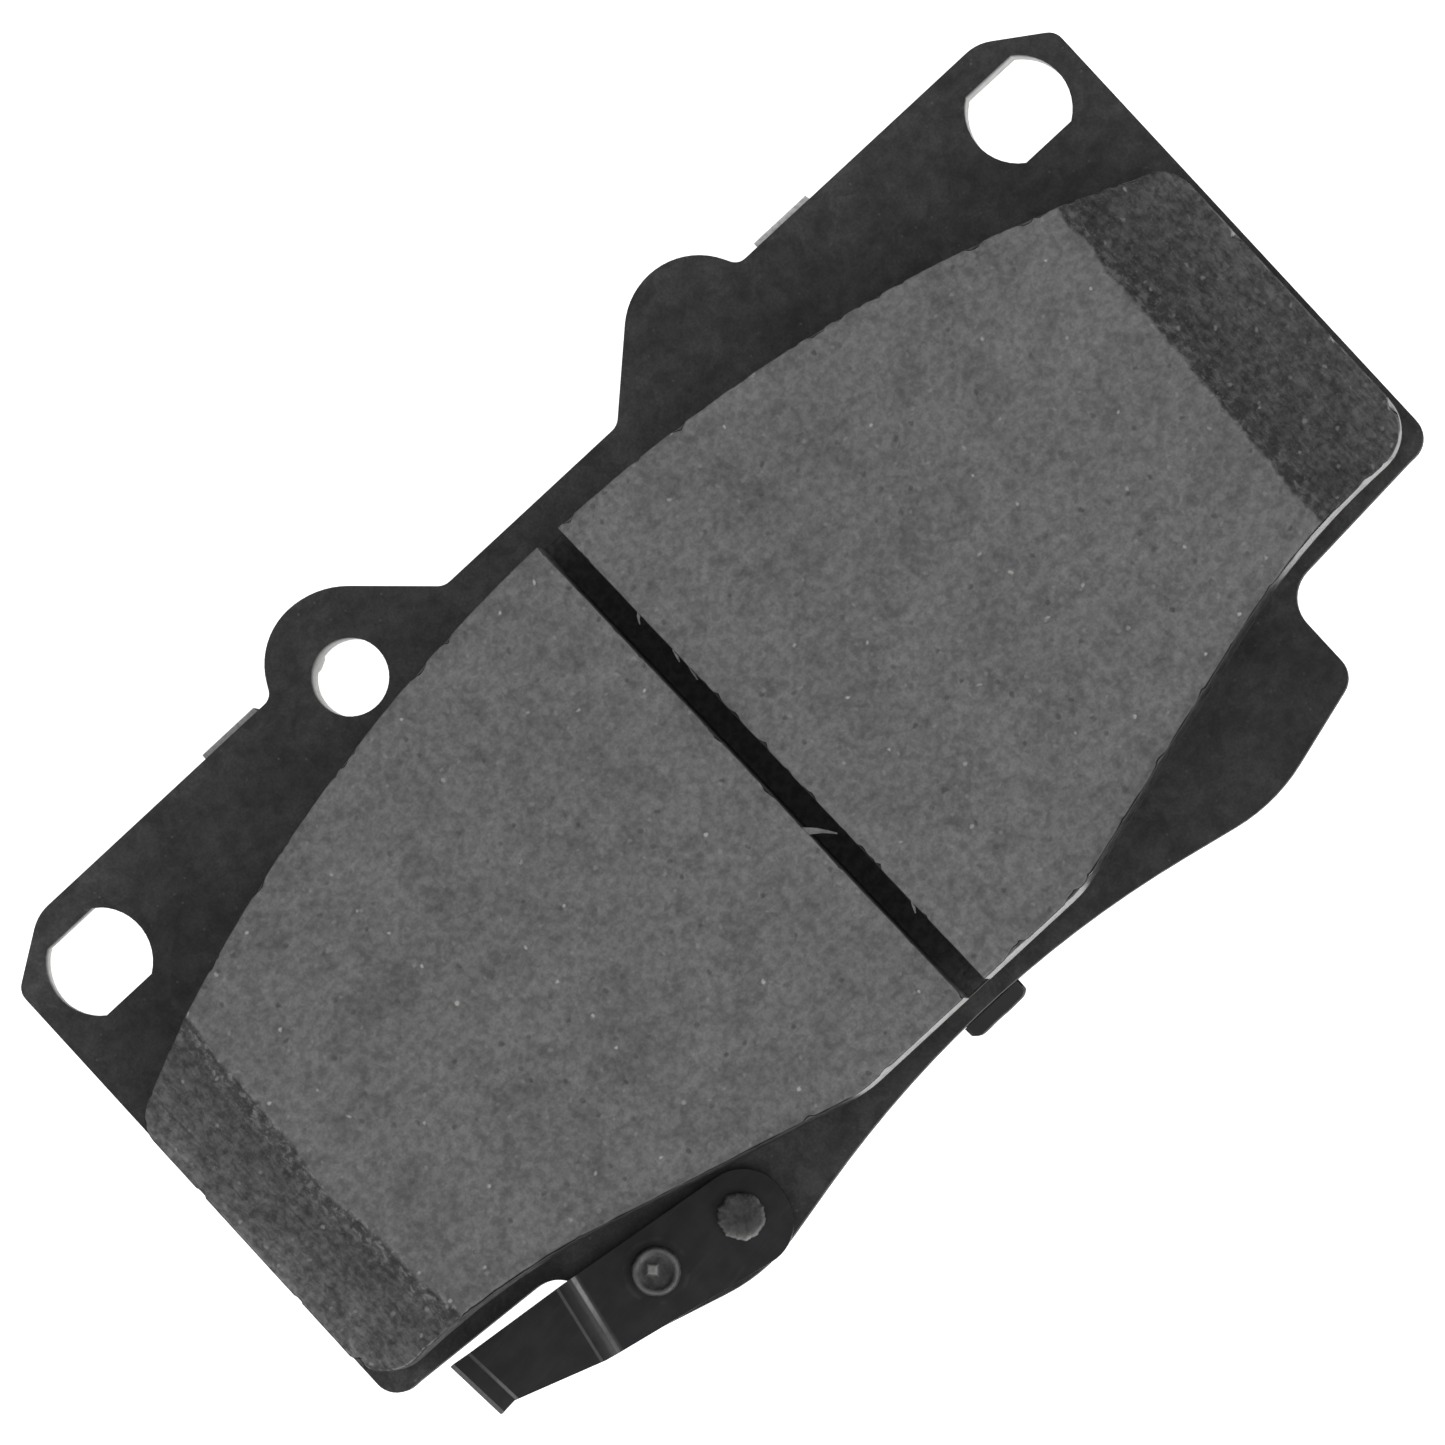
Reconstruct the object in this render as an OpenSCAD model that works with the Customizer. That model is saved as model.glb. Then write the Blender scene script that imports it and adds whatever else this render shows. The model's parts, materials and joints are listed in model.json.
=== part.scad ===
// Disc-brake pad for a fixed calliper that hangs on two pins.
// A stamped steel backing plate carries a moulded friction block, a clip-on noise shim and a
// riveted wear indicator. +X runs along the pad, +Y towards the pin holes, +Z towards the disc.
// The origin is under the middle of the pad, on the shim's outer face.

/* [Backing plate] */
// Length of the backing plate along X
plate_length = 120; // [118:0.5:124]
// Thickness of the backing plate
plate_thickness = 6; // [5:0.5:7]
// Height of the straight top shoulders above the pad's middle
shoulder_y = 29.7; // [29.2:0.1:30]
// Height of the edge between the two lobes
notch_y = 26.65; // [26:0.05:27]
// Distance of the left lobe, which holds the spring, from the pad's middle
left_lobe_x = 21.1; // [20:0.1:22]
// Distance of the right lobe from the pad's middle
right_lobe_x = 20.7; // [20:0.1:22]
// Height of the top of the lobes
lobe_top_y = 34.25; // [34:0.05:34.5]
// Edge radius of both lobes on their outer sides
lobe_outer_r = 6.3; // [6:0.1:6.8]
// Edge radius of the left lobe's inner side, round the spring hole
left_lobe_inner_r = 7.6; // [7:0.1:8]
// Edge radius of the right lobe's inner side
right_lobe_inner_r = 6.4; // [6:0.1:7]
// Distance of the lower tabs' outer sides from the pad's middle
tab_x = 41.6; // [41:0.1:42.5]
// Height of the lower corner at the left end, below the pad's middle
left_corner_y = -21.5; // [-22:0.05:-21]
// Height of the lower corner at the right end, below the pad's middle
right_corner_y = -21.25; // [-22:0.05:-21]

/* [Holes] */
// Distance of each pin hole from the pad's middle
pin_x = 53.2; // [52.8:0.1:53.5]
// Height of the pin holes
pin_y = 23.2; // [23:0.1:23.5]
// Diameter of a pin hole along X
pin_hole_d = 9.2; // [8.5:0.1:9.4]
// Width of a pin hole across its two flats
pin_hole_flats = 7.6; // [7:0.1:8]
// Diameter of the spring hole in the left lobe
spring_hole_d = 6.7; // [6:0.1:7]
// Height of the spring hole
spring_hole_y = 26.45; // [26.2:0.05:26.8]
// Diameter of the keying holes that the underlayer fills
key_hole_d = 9; // [6:0.5:11]

/* [Friction block] */
// Length of the friction block along X
lining_length = 119; // [117:0.5:119.4]
// Height of the friction block's crown above the pad's middle
lining_crown_y = 22.9; // [22:0.1:23.5]
// Radius of the friction block's upper edge
lining_arc_r = 146; // [142:1:152]
// Height of the block's flat lower edge, below the pad's middle
lining_bottom_y = -29.4; // [-29.6:0.1:-29]
// Height of the block's lower edge at its ends, below the pad's middle
lining_shoulder_y = -20.35; // [-20.8:0.05:-20]
// Thickness of the friction lining
lining_thickness = 7.5; // [4:0.5:9]
// Thickness of the underlayer
underlayer_thickness = 1.95; // [1.5:0.05:3]
// Thickness of the adhesive film
film_thickness = 0.15; // [0.1:0.05:0.3]
// Width of the slot across the lining
slot_width = 2.3; // [1.5:0.1:3.5]
// Angle by which the slot leans from Y, in degrees
slot_lean = 0.8; // [0:0.1:2]
// Thickness of the web left under the slot
slot_web = 0.8; // [0.5:0.1:2]
// Length of the left end's chamfer along X
left_chamfer_length = 9.6; // [5:0.1:14]
// Length of the right end's chamfer along X
right_chamfer_length = 10.6; // [5:0.1:14]
// Depth of each end chamfer at the block's end
chamfer_depth = 3; // [1:0.1:3.5]
// Angle by which the right chamfer's edge leans from Y, in degrees
right_chamfer_lean = 2.8; // [0:0.1:4]

/* [Shim] */
// Thickness of the shim's steel sheet
sheet_thickness = 0.5; // [0.3:0.05:0.6]
// Thickness of the shim's damping layer
damping_thickness = 0.4; // [0.3:0.05:0.8]
// Width of each folded tab
clip_width = 6; // [4:0.5:8]
// Distance of the upper tabs from the pad's middle
clip_x = 32; // [31:0.5:34]
// Height of the folded tabs above the sheet's outer face
clip_height = 5.2; // [4:0.1:6]
// Gap between an upper tab and the plate's edge
clip_gap = 0.1; // [0.05:0.05:0.3]
// Gap between the lower tab and the plate's edge
lower_clip_gap = 0.95; // [0.7:0.05:1.2]
// How far the lower tab's tip bends back towards the plate's edge
lower_clip_lip = 1; // [0.5:0.05:1.2]

/* [Wear indicator] */
// Thickness of the indicator's spring strip
reed_thickness = 0.7; // [0.5:0.05:0.8]
// Rise of the strip from its base to its arm
reed_rise = 1; // [0.6:0.1:1.5]
// Angle of the riser from the plate, in degrees
riser_angle = 48; // [35:1:60]
// Angle of the bent tip from the arm, in degrees
tip_angle = 38; // [20:1:60]
// Length of the bent tip
tip_length = 2.1; // [1.5:0.1:2.6]
// Radius of the strip's rounded end
reed_end_r = 3.95; // [3.6:0.05:3.95]
// Inside radius of the strip's bends
bend_r = 0.5; // [0.3:0.1:0.6]
// Diameter of the rivets' shanks
rivet_d = 3; // [2.5:0.1:3.2]

/* [Hidden] */
$fn = 48;
// Largest gap between a rounded corner and the short lines that draw it
fineness = 0.01;
eps = 0.02;
far = 200;

// Levels of the stack, from the shim's outer face towards the disc
plate_z = sheet_thickness + damping_thickness;
film_z = plate_z + plate_thickness;
underlayer_z = film_z + film_thickness;
lining_z = underlayer_z + underlayer_thickness;
top_z = lining_z + lining_thickness;

half_length = plate_length / 2;
pin_hole_r = pin_hole_d / 2;

// Places of the keying holes
KEY_HOLES = [[-39, -4], [-19, 3], [19, 3], [39, -4]];

// Places of the rivets: one in the strip's round end, one nearer the bend
RIVET_END = [-27.5, -29.8];
RIVET_MIDDLE = [-36, -28.3];

// ---------- outline helpers ----------

function unit(v) = v / norm(v);

// The short arc that replaces one corner of a polygon, from the line before it to the line after it.
// A corner is [x, y, radius]; a radius of zero keeps it sharp.
function corner_arc(before, corner, after) =
    let (
        p = [corner[0], corner[1]],
        u = unit([before[0], before[1]] - p),
        v = unit([after[0], after[1]] - p),
        turn = 180 - acos(u * v),
        reach = corner[2] * tan(turn / 2),
        centre = p + unit(u + v) * corner[2] / cos(turn / 2),
        from = p + u * reach - centre,
        side = cross(u, v) > 0 ? -1 : 1,
        step = 2 * acos(1 - fineness / max(corner[2], fineness)),
        count = max(2, ceil(turn / step))
    )
    corner[2] == 0
        ? [p]
        : [
            for (i = [0 : count])
                let (a = side * turn * i / count)
                centre + [from[0] * cos(a) - from[1] * sin(a), from[0] * sin(a) + from[1] * cos(a)]
        ];

// A closed outline with every corner rounded by its own radius
function rounded(corners) =
    let (n = len(corners))
    [for (i = [0 : n - 1]) each corner_arc(corners[(i + n - 1) % n], corners[i], corners[(i + 1) % n])];

// The right-hand corners followed by their mirror images, back to the start
function both_sides(corners) =
    concat(corners, [for (i = [len(corners) - 1 : -1 : 0]) [-corners[i][0], corners[i][1], corners[i][2]]]);

// One lobe: two flanks that meet the round top. x is its middle: positive on the right and
// negative on the left. The corners run from the outer foot to the inner foot.
outer_flank = 62;
inner_flank = 43;
function lobe(x, inner_r) =
    let (
        side = sign(x),
        outer_corner = lobe_outer_r * tan(outer_flank / 2),
        inner_corner = inner_r * tan(inner_flank / 2),
        outer_foot = outer_corner + (lobe_top_y - shoulder_y) / tan(outer_flank),
        inner_foot = inner_corner + (lobe_top_y - notch_y) / tan(inner_flank)
    )
    [
        [x + side * outer_foot, shoulder_y, 1.2],
        [x + side * outer_corner, lobe_top_y, lobe_outer_r],
        [x - side * inner_corner, lobe_top_y, inner_r],
        [x - side * inner_foot, notch_y, 1.5],
    ];

function reversed(list) = [for (i = [len(list) - 1 : -1 : 0]) list[i]];

// Right-hand half of the plate's edge, from the long hollow arc round the lower tab and the end
// to the upper shoulder. end_y is the height of the end's lower corner.
function half_edge(end_y) = [
    [foot_corner[0], foot_corner[1], 16],
    [tab_x, -31.3, 2.2],
    [tab_x, end_y - 1.1, 3.2],
    [half_length - 2.7, end_y, 8],
    [half_length, end_y, 2.2],
    [half_length, 25.9, 1.5],
    [half_length - 5.6, shoulder_y, 4],
];

// The hollow arc lies in the corner between two lines that fall away to the feet
hollow_y = -28.6;
hollow_r = 100;
foot_corner = [29.3, -34.75];
hollow_slope = atan((hollow_y - foot_corner[1]) / foot_corner[0]);
// Distance of the hollow edge below the pad's middle
hollow_edge = hollow_r * (1 / cos(hollow_slope) - 1) - hollow_y;

function plate_outline() =
    rounded(concat(
        [[0, hollow_y, hollow_r]],
        half_edge(right_corner_y),
        lobe(right_lobe_x, right_lobe_inner_r),
        reversed(lobe(-left_lobe_x, left_lobe_inner_r)),
        reversed([for (c = half_edge(left_corner_y)) [-c[0], c[1], c[2]]])
    ));

// ---------- backing plate ----------

// A round hole with two flats parallel to X
module pin_hole() {
    intersection() {
        circle(r = pin_hole_r);
        square([pin_hole_d + 1, pin_hole_flats], center = true);
    }
}

module backing_plate() color("#2e2e30") {
    translate([0, 0, plate_z])
        difference() {
            linear_extrude(plate_thickness)
                difference() {
                    polygon(plate_outline());
                    for (side = [-1, 1])
                        translate([side * pin_x, pin_y])
                            pin_hole();
                }
            translate([-left_lobe_x, spring_hole_y, -1])
                cylinder(d = spring_hole_d, h = plate_thickness + 2);
            for (p = [RIVET_END, RIVET_MIDDLE])
                translate([p[0], p[1], -1])
                    cylinder(d = rivet_d, h = plate_thickness + 2);
            for (p = KEY_HOLES)
                translate([p[0], p[1], -1])
                    cylinder(d = key_hole_d, h = plate_thickness + 2);
        }
}

// ---------- friction block: film, underlayer and lining share one outline ----------

lining_end = lining_length / 2;
// The upper edge is one arc as far as the rounded end corners, where it leaves along its tangent
end_corner_r = 3;
end_corner_run = 2.4;
lining_arc_half = asin((lining_end - end_corner_run) / lining_arc_r);
lining_arc_corner_y = lining_crown_y + lining_arc_r * (1 / cos(lining_arc_half) - 1);
lining_end_y = lining_arc_corner_y - lining_end * tan(lining_arc_half);
LINING_SIDE = [
    [lining_end, lining_end_y, end_corner_r],
    [lining_end, lining_shoulder_y, 4],
    [45.2, lining_shoulder_y, 66],
    [12.6, lining_bottom_y, 10],
];

module lining_shape() {
    polygon(rounded(concat([[0, lining_arc_corner_y, lining_arc_r]], both_sides(LINING_SIDE))));
}

module adhesive_film() color("#4a3a2c") {
    translate([0, 0, film_z])
        difference() {
            linear_extrude(film_thickness)
                lining_shape();
            for (p = KEY_HOLES)
                translate([p[0], p[1], -1])
                    cylinder(d = key_hole_d, h = film_thickness + 2);
        }
}

module underlayer() color("#57534d") {
    translate([0, 0, underlayer_z])
        linear_extrude(underlayer_thickness)
            lining_shape();
    // Plugs pressed into the plate's keying holes while the block was moulded
    for (p = KEY_HOLES)
        translate([p[0], p[1], plate_z])
            cylinder(d = key_hole_d, h = underlayer_z - plate_z + eps);
}

// The wedge that grinding takes off the right end: its length and the angle by which its edge leans
module end_chamfer(length, lean) {
    run = lining_end + 10;
    translate([lining_end - length, 0, lining_thickness])
        rotate([0, 0, lean])
            rotate([90, 0, 0])
                linear_extrude(far, center = true)
                    polygon([
                        [0, 0],
                        [run, -run * chamfer_depth / length],
                        [run, 1],
                        [0, 1],
                    ]);
}

module friction_lining() color("#6b6b69") {
    translate([0, 0, lining_z])
        difference() {
            linear_extrude(lining_thickness)
                lining_shape();
            end_chamfer(right_chamfer_length, -right_chamfer_lean);
            mirror([1, 0, 0])
                end_chamfer(left_chamfer_length, 0);
            rotate([0, 0, slot_lean])
                translate([-slot_width / 2, -far / 2, slot_web])
                    cube([slot_width, far, lining_thickness]);
        }
}

// ---------- shim ----------

module shim_shape() {
    polygon(rounded(both_sides([
        [11, -27, 8],
        [46, -19, 14],
        [56.5, -19, 2.5],
        [56.5, 9, 4],
        [41.2, 27.8, 5],
        [26.4, 27.8, 2],
        [22.8, 21.4, 4],
    ])));
}

module shim_damping_layer() color("#202022") {
    translate([0, 0, sheet_thickness])
        linear_extrude(damping_thickness)
            shim_shape();
}

// A tab's tip seen from its end: cut off straight, or with a lip that bends back inwards at 45 degrees
function straight_tip(inside, outside) = [
    [outside, clip_height, 0],
    [inside, clip_height, 0],
];
function lipped_tip(inside, outside, lip) =
    let (slant = sheet_thickness / sqrt(2))
    [
        [outside, clip_height - lip, 0],
        [outside - lip, clip_height, 0],
        [outside - lip - slant, clip_height - slant, 0],
        [inside, clip_height - lip - sheet_thickness * tan(22.5), 0],
    ];

// A folded tab: it runs out along +Y past the plate's edge and turns up beside it.
// root_y lies inside the sheet, and gap is left between the plate's edge at edge_y and the tab.
module clip(root_y, edge_y, gap, lip = 0) {
    inside = edge_y + gap;
    outside = inside + sheet_thickness;
    inside_r = 0.4;
    rotate([90, 0, 90])
        linear_extrude(clip_width, center = true)
            polygon(rounded(concat(
                [[root_y, 0, 0], [outside, 0, inside_r + sheet_thickness]],
                lip == 0 ? straight_tip(inside, outside) : lipped_tip(inside, outside, lip),
                [[inside, sheet_thickness, inside_r], [root_y, sheet_thickness, 0]]
            )));
}

module shim_sheet() color("#38393b") {
    linear_extrude(sheet_thickness)
        shim_shape();
    for (side = [-1, 1])
        translate([side * clip_x, 0, 0])
            clip(shoulder_y - 4, shoulder_y, clip_gap);
    rotate([0, 0, 180])
        clip(hollow_edge - 6, hollow_edge, lower_clip_gap, lower_clip_lip);
}

// ---------- wear indicator ----------

// The strip's outline seen from the disc: a round end, a base that widens to the riser,
// and an arm that narrows to the tip
REED_CORNERS = [
    [-22.8, -26.5, reed_end_r],
    [-42.0, -23.85, 0.3],
    [-54.6, -22.45, 0.3],
    [-53.85, -28.45, 0.3],
    [-52.2, -28.25, 0.3],
    [-44.2, -31, 0.6],
    [-24.3, -35.2, reed_end_r],
];
// First bend line: the foot of the riser, and its angle from Y
riser_foot = [-42.5, -27.2];
riser_turn = -10.7;
// Second bend line, between the arm and the tip
tip_foot = [-52.35, -25.4];
tip_turn = 4.3;
strip_length = 30;

// Both faces of a strip as one closed outline: it rises from a flat run to a higher flat run.
// X runs away from the first flat run.
module riser_profile() {
    t = reed_thickness;
    run = reed_rise / tan(riser_angle);
    shift = t * tan(riser_angle / 2);
    polygon(rounded([
        [-strip_length, 0, 0],
        [0, 0, bend_r + t],
        [run, reed_rise, bend_r],
        [strip_length, reed_rise, 0],
        [strip_length, reed_rise + t, 0],
        [run - shift, reed_rise + t, bend_r + t],
        [-shift, t, bend_r],
        [-strip_length, t, 0],
    ]));
}

// The arm's last stretch and the tip that turns up towards the disc
module tip_profile() {
    t = reed_thickness;
    shift = t * tan(tip_angle / 2);
    end = [tip_length * cos(tip_angle), tip_length * sin(tip_angle)];
    polygon(rounded([
        [-3, 0, 0],
        [0, 0, bend_r + t],
        [end[0], end[1], 0],
        [end[0] - t * sin(tip_angle), end[1] + t * cos(tip_angle), 0],
        [-shift, t, bend_r],
        [-3, t, 0],
    ]));
}

// Sweeps a profile along its bend line, with the profile's X pointing to the pad's -X
module bent_strip(foot, turn, z) {
    translate([foot[0], foot[1], z])
        rotate([0, 0, 180 + turn])
            rotate([90, 0, 0])
                linear_extrude(40, center = true)
                    children();
}

module wear_indicator() color("#26272b") {
    difference() {
        intersection() {
            translate([0, 0, film_z])
                linear_extrude(8)
                    polygon(rounded(REED_CORNERS));
            union() {
                difference() {
                    bent_strip(riser_foot, riser_turn, film_z)
                        riser_profile();
                    translate([tip_foot[0], tip_foot[1], 0])
                        rotate([0, 0, tip_turn])
                            translate([-far, -far / 2, 0])
                                cube([far, far, far]);
                }
                bent_strip(tip_foot, tip_turn, film_z + reed_rise)
                    tip_profile();
            }
        }
        for (p = [RIVET_END, RIVET_MIDDLE])
            translate([p[0], p[1], film_z - 1])
                cylinder(d = rivet_d, h = 4);
    }
}

// ---------- rivets ----------

tail_height = 0.6;
reed_top_z = film_z + reed_thickness;

// Shank and tail, shared by both rivets; the tail is spread on the plate's back
module rivet_shank(tail_d) {
    translate([0, 0, plate_z - eps])
        cylinder(d = rivet_d, h = reed_top_z - plate_z + 2 * eps);
    translate([0, 0, plate_z - tail_height])
        cylinder(d1 = tail_d - 0.8, d2 = tail_d, h = tail_height);
}

// Rivet with a flat, hammered head
module indicator_rivet_end() color("#4b4c50") {
    head_d = 4.1;
    head_height = 0.55;
    translate([RIVET_END[0], RIVET_END[1], 0]) {
        rivet_shank(4.8);
        translate([0, 0, reed_top_z])
            cylinder(d1 = head_d, d2 = head_d - 0.5, h = head_height);
    }
}

// Rivet with a raised rim round a shallow dish
module indicator_rivet_middle() color("#4b4c50") {
    head_d = 4.3;
    head_height = 0.65;
    dish_d = 3.3;
    translate([RIVET_MIDDLE[0], RIVET_MIDDLE[1], 0]) {
        rivet_shank(4.8);
        translate([0, 0, reed_top_z])
            difference() {
                cylinder(d1 = head_d, d2 = head_d - 0.4, h = head_height);
                translate([0, 0, head_height - 0.3])
                    cylinder(d1 = dish_d - 0.8, d2 = dish_d, h = 0.3 + eps);
            }
    }
}

backing_plate();
adhesive_film();
underlayer();
friction_lining();
shim_damping_layer();
shim_sheet();
wear_indicator();
indicator_rivet_end();
indicator_rivet_middle();
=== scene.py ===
"""Looks of a disc brake pad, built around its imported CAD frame.

The pad lies on its shim on a white floor. Every piece keeps the place and size of its CAD node and
adds what the plain solid leaves out: rounded and chipped rims, ground and moulded surfaces, rivet
heads that a hammer has spread, and procedural materials in millimetres.
"""

import json
import math

import bmesh
import bpy
import numpy as np
from mathutils import Matrix, Vector, noise
from mathutils.bvhtree import BVHTree


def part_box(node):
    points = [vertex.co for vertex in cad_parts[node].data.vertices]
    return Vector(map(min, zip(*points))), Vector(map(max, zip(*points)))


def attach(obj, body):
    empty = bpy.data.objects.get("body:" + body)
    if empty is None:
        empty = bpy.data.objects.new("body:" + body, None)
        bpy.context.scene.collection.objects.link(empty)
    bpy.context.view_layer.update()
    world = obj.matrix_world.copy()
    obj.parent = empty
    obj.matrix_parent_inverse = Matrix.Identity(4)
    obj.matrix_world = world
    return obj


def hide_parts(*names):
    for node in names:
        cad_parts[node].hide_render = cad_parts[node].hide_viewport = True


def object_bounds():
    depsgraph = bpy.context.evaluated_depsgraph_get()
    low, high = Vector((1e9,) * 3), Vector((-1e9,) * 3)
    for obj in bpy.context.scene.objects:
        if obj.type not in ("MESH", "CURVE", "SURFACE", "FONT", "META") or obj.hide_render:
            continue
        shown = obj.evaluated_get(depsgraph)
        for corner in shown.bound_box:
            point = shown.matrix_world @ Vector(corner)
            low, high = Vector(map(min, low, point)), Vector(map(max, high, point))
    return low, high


MM = 0.001
TINY = 0.004 * MM

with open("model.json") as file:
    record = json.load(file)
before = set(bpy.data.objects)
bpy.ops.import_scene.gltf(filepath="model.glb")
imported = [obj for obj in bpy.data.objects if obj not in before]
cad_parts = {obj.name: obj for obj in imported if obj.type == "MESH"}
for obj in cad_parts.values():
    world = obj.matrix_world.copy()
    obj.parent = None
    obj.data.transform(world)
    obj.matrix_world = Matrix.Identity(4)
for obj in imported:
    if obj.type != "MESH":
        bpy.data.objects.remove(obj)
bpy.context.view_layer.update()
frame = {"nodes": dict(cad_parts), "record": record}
cad = frame["nodes"]

LINING_LOW, LINING_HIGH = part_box("friction_lining")


def slot_shape():
    """Half the slot's width and its shift in x for each unit of y, from the corners of its floor."""
    spots = [vert.co for vert in cad["friction_lining"].data.vertices]
    floor = [co for co in spots if LINING_LOW.z + TINY < co.z < LINING_HIGH.z - TINY and abs(co.x) < 4 * MM]
    middles = []
    for upper in (False, True):
        corners = [co for co in floor if (co.y > 0) == upper]
        left = min(corners, key=lambda co: co.x)
        right = max(corners, key=lambda co: co.x)
        middles.append((left + right) / 2)
        half = (right.x - left.x) / 2
    return half, (middles[0].x - middles[1].x) / (middles[0].y - middles[1].y)


def middle_mm(node):
    """Middle of a node's box as seen from above, in millimetres."""
    low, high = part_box(node)
    return (low.x + high.x) / 2 / MM, (low.y + high.y) / 2 / MM, 0.0


SLOT_HALF, SLOT_LEAN = slot_shape()

# Places that the materials use, in millimetres
SLOT_HALF_MM = SLOT_HALF / MM
FACE_MM = LINING_HIGH.z / MM
RIGHT_END_MM = LINING_HIGH.x / MM
TAB_TOP_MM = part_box("shim_sheet")[1].z / MM
MIDDLE_RIVET_MM = middle_mm("indicator_rivet_middle")
# Where two of the strip's bends lie, and how far they turn from the pad's length in degrees
RISER_FOOT, RISER_TURN = (-42.5, -27.2), -10.7
TIP_FOOT, TIP_TURN = (-52.35, -25.4), 4.3
# The lining's lower edge slants between these distances from the pad's middle
SLANT_FROM_MM, SLANT_TO_MM = 13.5, 50


# ---------- camera ----------

TARGET = Vector((-0.425, 2.06, 6.9)) * MM
CAMERA_DISTANCE = 1.2
CAMERA_LEAN_X = math.radians(2.5)
CAMERA_LEAN_Y = math.radians(-4.05)
CAMERA_ROLL = math.radians(42.665)
LENS_MM = 353


def add_camera():
    """A long lens almost straight above the pad, turned so that the pad runs up to the right."""
    away = Vector((math.tan(CAMERA_LEAN_X), math.tan(CAMERA_LEAN_Y), 1)).normalized()
    up = Vector((math.sin(CAMERA_ROLL), math.cos(CAMERA_ROLL), 0))
    up = (up - away * up.dot(away)).normalized()
    data = bpy.data.cameras.new("camera")
    data.lens = LENS_MM
    data.sensor_width = 36
    data.clip_start = 0.05
    data.clip_end = 20
    camera = bpy.data.objects.new("camera", data)
    turned = Matrix((up.cross(away), up, away)).transposed()
    camera.matrix_world = Matrix.Translation(TARGET + away * CAMERA_DISTANCE) @ turned.to_4x4()
    bpy.context.scene.collection.objects.link(camera)
    bpy.context.scene.camera = camera


# ---------- node materials ----------

def make(kind, inputs, **settings):
    """A new node in the tree that its linked inputs belong to; the other inputs are plain values."""
    linked = {key: value for key, value in inputs.items() if isinstance(value, bpy.types.NodeSocket)}
    tree = next(iter(linked.values())).id_data
    node = tree.nodes.new(kind)
    for key, value in settings.items():
        setattr(node, key, value)
    for key, value in inputs.items():
        if key in linked:
            tree.links.new(value, node.inputs[key])
        else:
            node.inputs[key].default_value = value
    return node


def calc(operation, a, b=0.0):
    return make("ShaderNodeMath", {0: a, 1: b}, operation=operation).outputs[0]


def times(a, b):
    return calc("MULTIPLY", a, b)


def ramp(value, low, high, start=0.0, end=1.0):
    """value mapped smoothly from low..high to start..end."""
    inputs = {"Value": value, "From Min": low, "From Max": high, "To Min": start, "To Max": end}
    return make("ShaderNodeMapRange", inputs, interpolation_type="SMOOTHSTEP").outputs[0]


def spread(noise_value, start=0.0, end=1.0):
    """Noise whose usual range is mapped to start..end."""
    return ramp(noise_value, 0.3, 0.7, start, end)


def fall(value, low, high):
    """1 up to low and 0 from high on."""
    return ramp(value, low, high, 1.0, 0.0)


def fade(value, by, low, high, start=0.0, end=1.0):
    """value multiplied by a ramp of another value."""
    return times(value, ramp(by, low, high, start, end))


def mix(factor, a, b):
    """Between the colours a and b, which are grey levels, (r, g, b) or sockets."""
    inputs = {"Factor": factor}
    for place, colour in ((6, a), (7, b)):
        if not isinstance(colour, bpy.types.NodeSocket):
            colour = (*colour, 1) if isinstance(colour, tuple) else (colour, colour, colour, 1)
        inputs[place] = colour
    return make("ShaderNodeMix", inputs, data_type="RGBA").outputs[2]


def tint(colour, amount):
    """A colour multiplied by a grey amount."""
    return make("ShaderNodeVectorMath", {0: colour, "Scale": amount}, operation="SCALE").outputs[0]


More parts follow.
